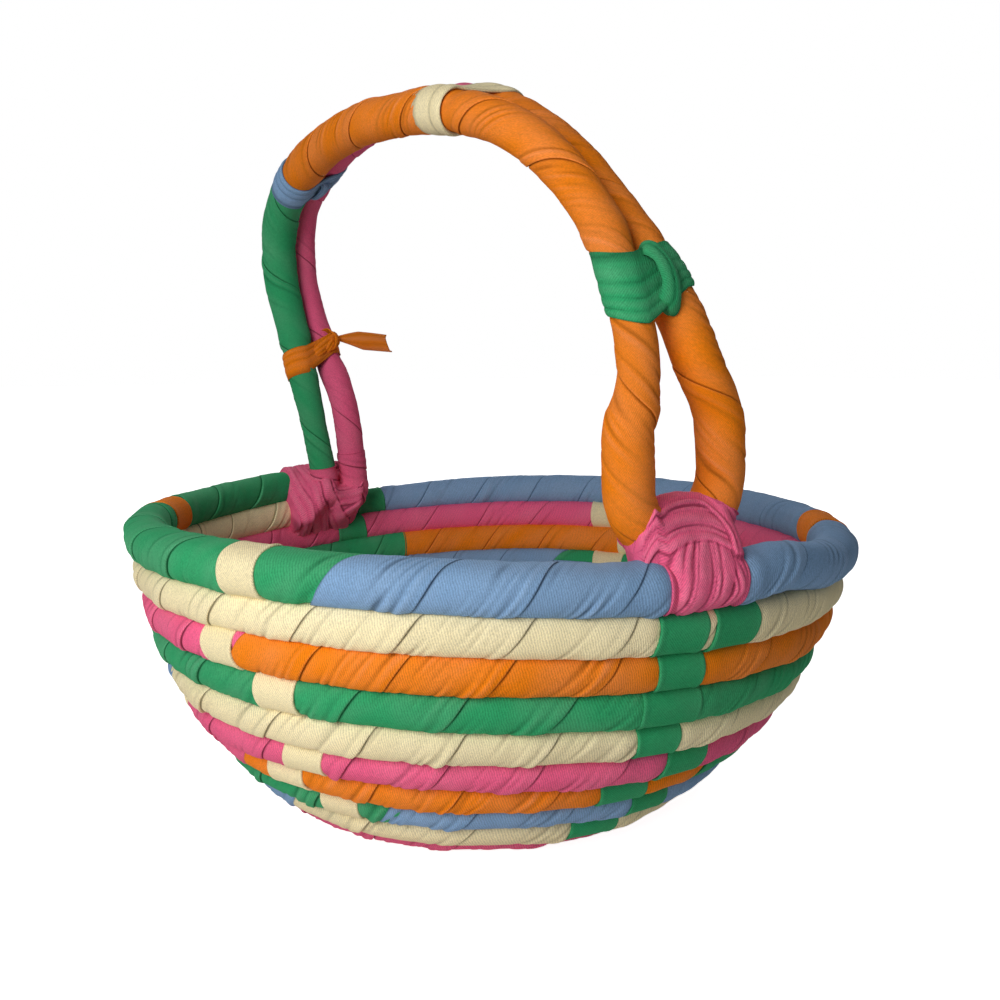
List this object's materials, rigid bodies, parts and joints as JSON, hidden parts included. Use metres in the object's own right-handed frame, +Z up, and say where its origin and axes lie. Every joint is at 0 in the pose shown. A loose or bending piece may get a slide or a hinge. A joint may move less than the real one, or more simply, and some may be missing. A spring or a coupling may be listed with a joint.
{
  "type": "rag basket",
  "caption": "Round open basket coiled from rag-wrapped rope in bright plain colours, with short rag ties between rows and an arched rope handle lashed to the rim.",
  "frame": {"origin": "middle of the part's box, on the surface that the basket stands on", "axes": "+Z up, +X from the back lashing to the front lashing, along the line that the handle sways about"},
  "size_m": [0.317, 0.3146, 0.3053],
  "materials": {
    "fabric_green": "matte plain-dyed cotton twill strip, wound on the slant",
    "fabric_blue": "matte plain-dyed cotton twill strip, wound on the slant",
    "fabric_cream": "matte plain-dyed cotton twill strip, wound on the slant",
    "fabric_pink": "matte plain-dyed cotton twill strip, wound on the slant",
    "fabric_orange": "matte plain-dyed cotton twill strip, wound on the slant",
    "core_rope": "matte twisted rope, hidden under the rags"
  },
  "bodies": {
    "basket": {"coil_core": "core_rope", "wrap_green_1": "fabric_green", "wrap_blue_1": "fabric_blue", "wrap_cream_2": "fabric_cream", "wrap_pink_2": "fabric_pink", "wrap_orange_3": "fabric_orange", "wrap_green_3": "fabric_green", "wrap_blue_4": "fabric_blue", "wrap_cream_5": "fabric_cream", "wrap_pink_6": "fabric_pink", "wrap_orange_7": "fabric_orange", "wrap_green_7": "fabric_green", "wrap_blue_8": "fabric_blue", "wrap_cream_9": "fabric_cream", "wrap_pink_10": "fabric_pink", "wrap_orange_11": "fabric_orange", "wrap_green_12": "fabric_green", "wrap_blue_13": "fabric_blue", "wrap_cream_14": "fabric_cream", "tie_cream_1": "fabric_cream", "tie_green_back_1": "fabric_green", "tie_green_2a": "fabric_green", "tie_green_2b": "fabric_green", "tie_cream_back_2": "fabric_cream", "tie_green_back_2": "fabric_green", "tie_cream_3": "fabric_cream", "tie_green_3": "fabric_green", "tie_cream_back_3": "fabric_cream", "tie_cream_4": "fabric_cream", "tie_green_4": "fabric_green", "tie_cream_back_4": "fabric_cream", "tie_green_5": "fabric_green", "tie_cream_6": "fabric_cream", "tie_green_6": "fabric_green", "tie_cream_7": "fabric_cream", "tie_green_7": "fabric_green", "tie_cream_8": "fabric_cream", "tie_green_8": "fabric_green", "tie_green_9": "fabric_green", "band_orange_left": "fabric_orange", "band_orange_right": "fabric_orange", "lashing_front_rim": "fabric_pink", "lashing_back_rim": "fabric_pink"},
    "handle": {"handle_core": "core_rope", "handle_wrap_orange_far": "fabric_orange", "handle_wrap_pink": "fabric_pink", "lashing_back_loop": "fabric_pink", "handle_wrap_green": "fabric_green", "handle_wrap_orange_near": "fabric_orange", "lashing_front_loop": "fabric_pink", "handle_band_green": "fabric_green", "handle_band_cream": "fabric_cream", "handle_band_blue": "fabric_blue", "handle_band_orange": "fabric_orange", "handle_knot_green": "fabric_green", "handle_knot_orange": "fabric_orange", "handle_tail_orange": "fabric_orange"}
  },
  "joints": [
    {"name": "handle_sway", "type": "hinge", "parent": "basket", "child": "handle", "pos_m": [0.00041, -0.01291, 0.1212], "axis": [1, 0, 0], "range_deg": [-20, 4]}
  ]
}
